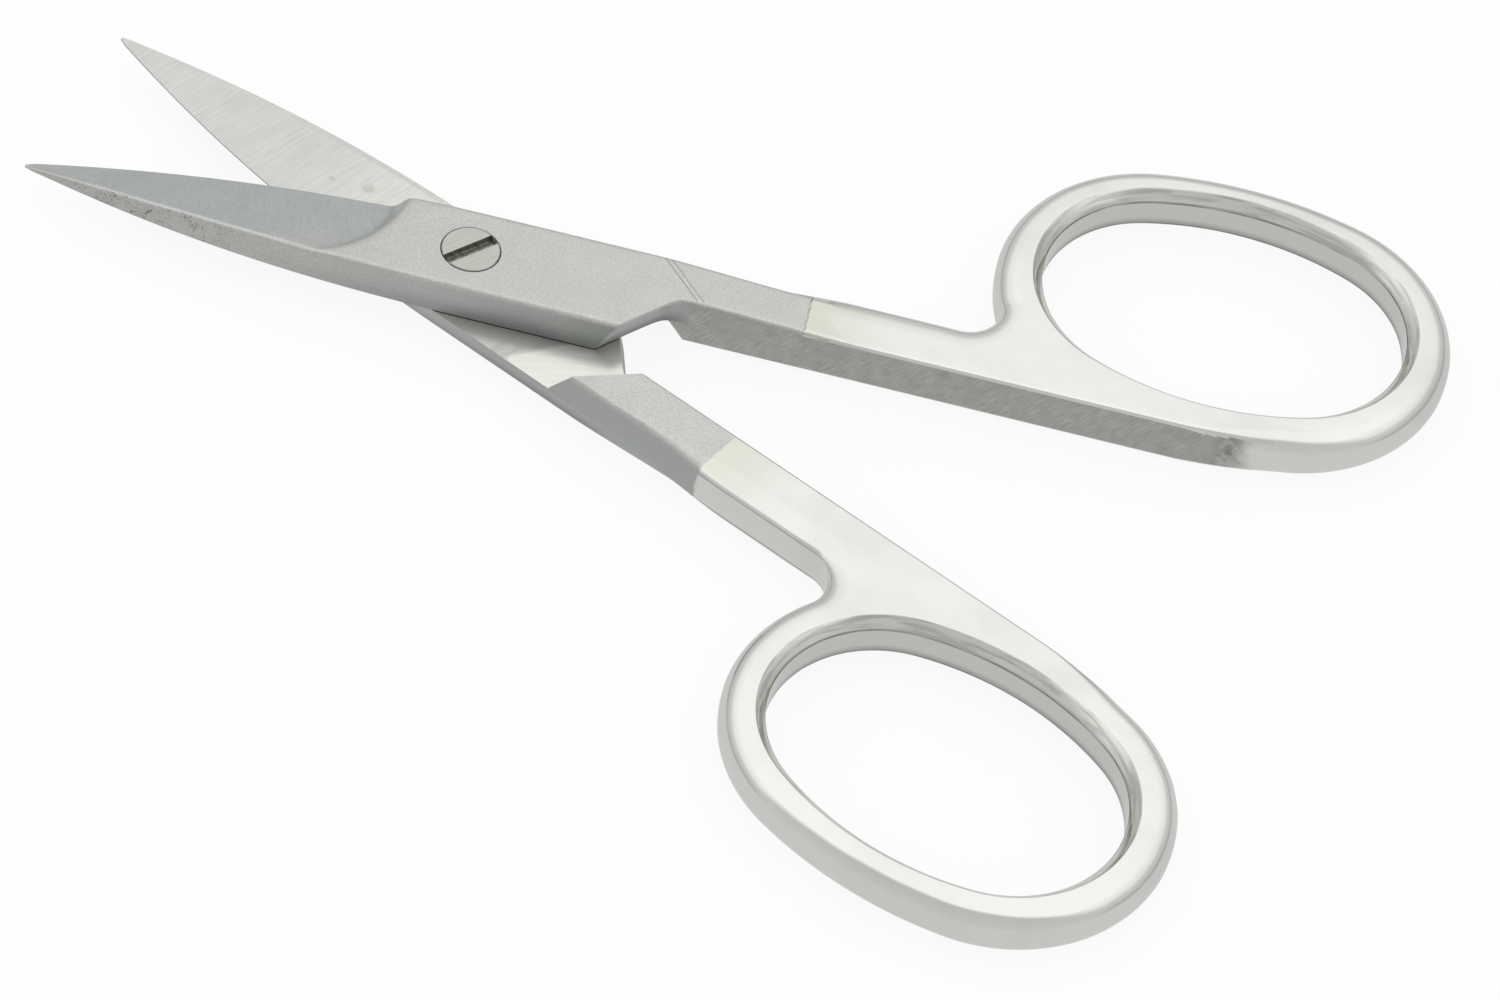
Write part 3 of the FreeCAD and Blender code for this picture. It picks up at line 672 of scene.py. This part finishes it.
def innerFace():
    graph = startMaterial("innerFace")
    place = graph.lying()
    along, across = graph.parts(place)[:2]
    pad = along + across * innerGrind["padSlant"] - innerGrind["padReach"]
    pad = pad.step(-innerGrind["padBlend"], innerGrind["padBlend"])
    crossLines = graph.brushed(place, *innerGrind["crossLines"])
    lines = crossLines.toward(graph.brushed(place, *innerGrind["padLines"]), pad)
    scratches = graph.brushed(place, *innerGrind["scratches"]).step(*innerGrind["scratchEdge"]) * (1 - pad)
    cloud = graph.noise(place, innerGrind["cloudScale"], 3.0)
    border = along.step(*innerGrind["borderStart"]) * (1 - along.step(*innerGrind["borderEnd"]))
    border = border * (1 - graph.zone("spineGap").step(*innerGrind["borderEdge"]))
    underPlate = along.step(*innerGrind["underStart"]) * (1 - pad)
    bright = along.step(*innerGrind["brightStart"]) * (1 - underPlate) * innerGrind["bladeBright"]
    bright = pad.larger(bright)

    shade = lines * innerGrind["lineShade"] + cloud * innerGrind["cloudShade"] + innerGrind["shadeOffset"]
    shade = shade + border * innerGrind["borderShade"] + scratches * innerGrind["scratchShade"]
    shade = (shade + bright * innerGrind["brightShade"]).step(*innerGrind["shadeEdge"])
    light = graph.colour(bright, innerGrind["light"], innerGrind["padLight"])
    colour = graph.colour(shade, innerGrind["dark"], light)
    # Painted shade: darker streaks beside the pad, where the other half's pivot plate lies over the face
    under = underPlate * lines.step(*innerGrind["underEdge"]) * innerGrind["underShadeShare"]
    colour = graph.colour(under, colour, innerGrind["shade"])
    cut = (1 - graph.zone("edgeGap").step(*innerGrind["cutEdge"])) * (1 - along.step(*innerGrind["cutEnd"]))
    colour = graph.colour(cut * innerGrind["cutShare"], colour, innerGrind["edge"])
    ragged = graph.noise(place, innerGrind["stainScale"]) - 0.5
    for x, y, radius in innerGrind["stains"]:
        offset = graph.node("VectorMath", {"operation": "DISTANCE"}, {0: place, 1: (x, y, 0.0)}, "Value")
        spot = 1 - (offset + ragged * radius).step(radius * innerGrind["stainCore"], radius)
        colour = graph.colour(spot * innerGrind["stainShare"], colour, innerGrind["stain"])
    roughness = innerGrind["roughness"] + (lines - 0.5) * innerGrind["lineRough"]
    return graph.steel(colour, roughness, graph.bump(lines, innerGrind["lineDepth"]))


# Flat sides of the shanks, ground slantwise and left dull
sideGrind = {
    "light": (0.58, 0.585, 0.55, 1), "dark": (0.38, 0.385, 0.358, 1), "polished": (0.86, 0.87, 0.83, 1),
    "stain": (0.20, 0.205, 0.19, 1), "stainStart": (47.6, 48.8), "stainScale": 1.6, "stainEdge": (0.4, 0.65),
    "stainShare": 0.7, "roughness": 0.42, "lineRough": 0.15, "polishedRough": 0.12,
    "lines": ((0.0, math.radians(-50), 0.0), 12.0, 0.8), "lineDepth": 0.006, "cloudScale": 0.9,
    "lineShade": 1.1, "cloudShade": 0.5, "shadeOffset": -0.3, "shadeEdge": (0.15, 0.85),
    "endReach": 49.7, "endBlend": 1.1, "endWander": 1.6,
}


def groundSide():
    graph = startMaterial("groundSide")
    place = graph.lying()
    along = graph.parts(place)[0]
    lines = graph.brushed(place, *sideGrind["lines"])
    cloud = graph.noise(place, sideGrind["cloudScale"], 4.0)
    shade = lines * sideGrind["lineShade"] + cloud * sideGrind["cloudShade"] + sideGrind["shadeOffset"]
    ground = graph.colour(shade.step(*sideGrind["shadeEdge"]), sideGrind["dark"], sideGrind["light"])
    stained = graph.noise(place, sideGrind["stainScale"], 4.0).step(*sideGrind["stainEdge"])
    stained = stained * along.step(*sideGrind["stainStart"]) * sideGrind["stainShare"]
    ground = graph.colour(stained, ground, sideGrind["stain"])
    polish = along + (cloud - 0.5) * sideGrind["endWander"] - sideGrind["endReach"]
    polish = polish.step(-sideGrind["endBlend"], sideGrind["endBlend"])
    colour = graph.colour(polish, ground, sideGrind["polished"])
    dull = sideGrind["roughness"] + (lines - 0.5) * sideGrind["lineRough"]
    roughness = dull.toward(sideGrind["polishedRough"], polish)
    return graph.steel(colour, roughness, graph.bump(lines * (1 - polish), sideGrind["lineDepth"]))


# Walls of the finger holes, with painted shade in a dark stroke where the slope meets the upright band and
# towards the band's lower end at rest
holeWall = {
    "slope": (0.82, 0.83, 0.77, 1), "slopeDark": (0.60, 0.61, 0.565, 1), "slopeEdge": (0.36, 0.56),
    # the band darkens with painted shade towards its lower end at rest
    "band": (0.72, 0.74, 0.70, 1), "bandLowShade": (0.36, 0.37, 0.355, 1), "lowShadeEdge": (0.25, 1.1),
    # painted shade where the slope meets the band
    "line": (0.14, 0.14, 0.12, 1), "lineEdge": (0.02, 0.12), "lineGaps": (0.3, 0.6), "lineShare": 0.75,
    "bandBlend": 0.05, "streakScale": (0.3, 0.3, 5.0), "streakDepth": 0.01,
    "streakRough": 0.1, "roughness": 0.12,
}


def holeSteel():
    graph = startMaterial("holeWall")
    place = graph.lying()
    up = graph.parts(place)[2]
    pastBand = abs(up) - (handle["height"] - handle["flareHeight"])
    drawnOut = graph.node("Mapping", {}, {"Vector": place, "Scale": holeWall["streakScale"]})
    streaks = graph.noise(drawnOut, 1.0, 3.0)
    slope = graph.colour(streaks.step(*holeWall["slopeEdge"]), holeWall["slopeDark"], holeWall["slope"])
    # Painted shade: the band darker towards its lower end at rest
    band = graph.colour(graph.zone("low").step(*holeWall["lowShadeEdge"]), holeWall["band"], holeWall["bandLowShade"])
    colour = graph.colour(pastBand.step(-holeWall["bandBlend"], holeWall["bandBlend"]), band, slope)
    # Painted shade: a broken dark stroke where the slope meets the upright band
    line = (1 - abs(pastBand).step(*holeWall["lineEdge"])) * streaks.step(*holeWall["lineGaps"])
    colour = graph.colour(line * holeWall["lineShare"], colour, holeWall["line"])
    roughness = holeWall["roughness"] + (streaks - 0.5) * holeWall["streakRough"]
    return graph.steel(colour, roughness, graph.bump(streaks, holeWall["streakDepth"]))


# Satin head with a grimy slot
screwFinish = {
    "light": (0.60, 0.61, 0.56, 1), "dark": (0.50, 0.51, 0.465, 1), "shadeEdge": (0.2, 0.8),
    "grime": (0.16, 0.155, 0.135, 1), "grimeScale": 2.2, "grimeEdge": (0.42, 0.68), "grimeShare": 0.85,
    "roughness": 0.28, "lineRough": 0.1, "grimeRough": 0.2,
    "lines": ((0.0, 0.0, screw["slotAngle"]), 8.0, 0.3), "lineDepth": 0.002,
    "slotStart": (-0.1, -0.05), "slotWall": (0.01, 0.05),  # from the floor of the slot
    "slotMouth": (-0.1, -0.05),  # from the top of the head
}


def screwSteel():
    graph = startMaterial("screwSteel")
    place = graph.node("VectorMath", {"operation": "SCALE"},
                       {0: graph.node("TexCoord", {}, {}, "Object"), "Scale": 1 / millimetre})
    overHead = graph.parts(place)[2] - (slidingLevel / millimetre + screw["headTop"])
    overFloor = overHead + screw["slotDepth"]
    lines = graph.brushed(place, *screwFinish["lines"])
    inSlot = overFloor.step(*screwFinish["slotStart"]) * (1 - overHead.step(*screwFinish["slotMouth"]))
    grime = graph.noise(place, screwFinish["grimeScale"], 4.0).step(*screwFinish["grimeEdge"])
    grime = inSlot * overFloor.step(*screwFinish["slotWall"]).larger(grime)
    satin = graph.colour(lines.step(*screwFinish["shadeEdge"]), screwFinish["dark"], screwFinish["light"])
    colour = graph.colour(grime * screwFinish["grimeShare"], satin, screwFinish["grime"])
    roughness = screwFinish["roughness"] + (lines - 0.5) * screwFinish["lineRough"]
    roughness = roughness + grime * screwFinish["grimeRough"]
    return graph.steel(colour, roughness, graph.bump(lines, screwFinish["lineDepth"]))


halfFinishes = [forgedSteel(), innerFace(), groundSide(), holeSteel()]
print("half finishes set")
makeHalf("upper")
makeHalf("lower")
makeScrew()

# The photograph's viewing angle
view = {
    "aim": (0.02338, -0.00799), "distance": 0.57858, "lens": 225.5, "sensor": 36.0, "clipStart": 0.01,
    "azimuth": math.radians(16.72), "elevation": math.radians(47.715), "roll": math.radians(10.99),
}

# White floor and studio, with a light table under the object and a soft tent over it that only gloss sees
studio = {
    "floorColour": (0.95, 0.95, 0.95, 1), "floorWhite": 0.88, "floorSize": 1.5, "floorGap": 0.0001,
    "tableLevel": 0.645, "tableGap": 0.00005, "tableSides": 96,
    "tentRadius": 0.6, "tentSides": 64, "tentRings": 48, "tentCut": -0.001,
    "tentStops": [(0.0, 0.45), (0.35, 0.64), (0.62, 0.92), (0.84, 1.05)],  # height on the tent and brightness
    "frontLevel": 0.62, "frontFall": 0.07, "frontEdge": (0.2, 0.5),
}


def seenWhite(graph):  # 1 for the rays that show the white studio
    path = graph.node("LightPath", {}, {}, "Is Camera Ray")
    return path.larger(path.also("Is Glossy Ray")).larger(path.also("Is Transmission Ray"))


def makeFloor():
    graph = startMaterial("floorPaper")
    paper = graph.node("BsdfDiffuse", {}, {"Color": studio["floorColour"]})
    white = graph.node("Emission", {}, {"Strength": 1.0})
    shown = graph.node("MixShader", {}, {0: seenWhite(graph) * studio["floorWhite"], 1: paper, 2: white})
    shape = bmesh.new()
    bmesh.ops.create_grid(shape, x_segments=1, y_segments=1, size=studio["floorSize"])
    floor = makeObject("floor", shape, [graph.surface(shown)])
    floor.location.z = cadBox[0][2] - studio["floorGap"]


def onlyGloss(card):
    card.visible_camera = False
    card.visible_diffuse = False
    card.visible_shadow = False
    card.visible_transmission = False
    card.visible_volume_scatter = False


def makeTable():
    graph = startMaterial("lightTable")
    glow = graph.surface(graph.node("Emission", {}, {"Strength": studio["tableLevel"]}))
    disc = bmesh.new()
    bmesh.ops.create_circle(disc, cap_ends=True, segments=studio["tableSides"], radius=studio["tentRadius"])
    table = makeObject("lightTable", disc, [glow])
    table.location.z = cadBox[0][2] - studio["tableGap"]
    onlyGloss(table)


def makeTent():
    graph = startMaterial("softTent")
    direction = graph.node("VectorMath", {"operation": "NORMALIZE"},
                           {0: graph.node("TexCoord", {}, {}, "Object")})
    up = graph.parts(direction)[2]
    level = studio["tentStops"][0][1]
    for (low, dark), (high, light) in zip(studio["tentStops"], studio["tentStops"][1:]):
        level = level + up.step(low, high) * (light - dark)
    toFront = (math.sin(view["azimuth"]), -math.cos(view["azimuth"]), 0.0)
    front = graph.node("VectorMath", {"operation": "DOT_PRODUCT"}, {0: direction, 1: toFront}, "Value")
    level = level.toward(studio["frontLevel"] - up * studio["frontFall"], front.step(*studio["frontEdge"]))
    glow = graph.surface(graph.node("Emission", {}, {"Color": level, "Strength": 1.0}))
    dome = bmesh.new()
    bmesh.ops.create_uvsphere(dome, u_segments=studio["tentSides"], v_segments=studio["tentRings"],
                              radius=studio["tentRadius"])
    below = [vert for vert in dome.verts if vert.co.z < studio["tentCut"]]
    bmesh.ops.delete(dome, geom=below, context="VERTS")
    onlyGloss(makeObject("softTent", dome, [glow]))


def makeWorld():
    world = bpy.data.worlds.new("studio")
    bpy.context.scene.world = world
    graph = Graph(world)
    sky = graph.node("Background", {}, {"Color": (1, 1, 1, 1), "Strength": 1.0})
    graph.node("OutputWorld", {}, {"Surface": sky})


makeFloor()
makeTable()
makeTent()
makeWorld()
print("studio set")

cameraData = bpy.data.cameras.new("camera")
cameraData.lens = view["lens"]
cameraData.sensor_width = view["sensor"]
cameraData.clip_start = view["clipStart"]
camera = bpy.data.objects.new("camera", cameraData)
bpy.context.scene.collection.objects.link(camera)
facing = (Matrix.Rotation(view["azimuth"], 4, "Z") @ Matrix.Rotation(math.pi / 2 - view["elevation"], 4, "X")
          @ Matrix.Rotation(view["roll"], 4, "Z"))
aim = Vector((*view["aim"], slidingLevel))
camera.matrix_world = Matrix.Translation(aim) @ facing @ Matrix.Translation((0, 0, view["distance"]))
bpy.context.scene.camera = camera
bpy.context.scene.view_settings.view_transform = "Standard"
print("camera set")
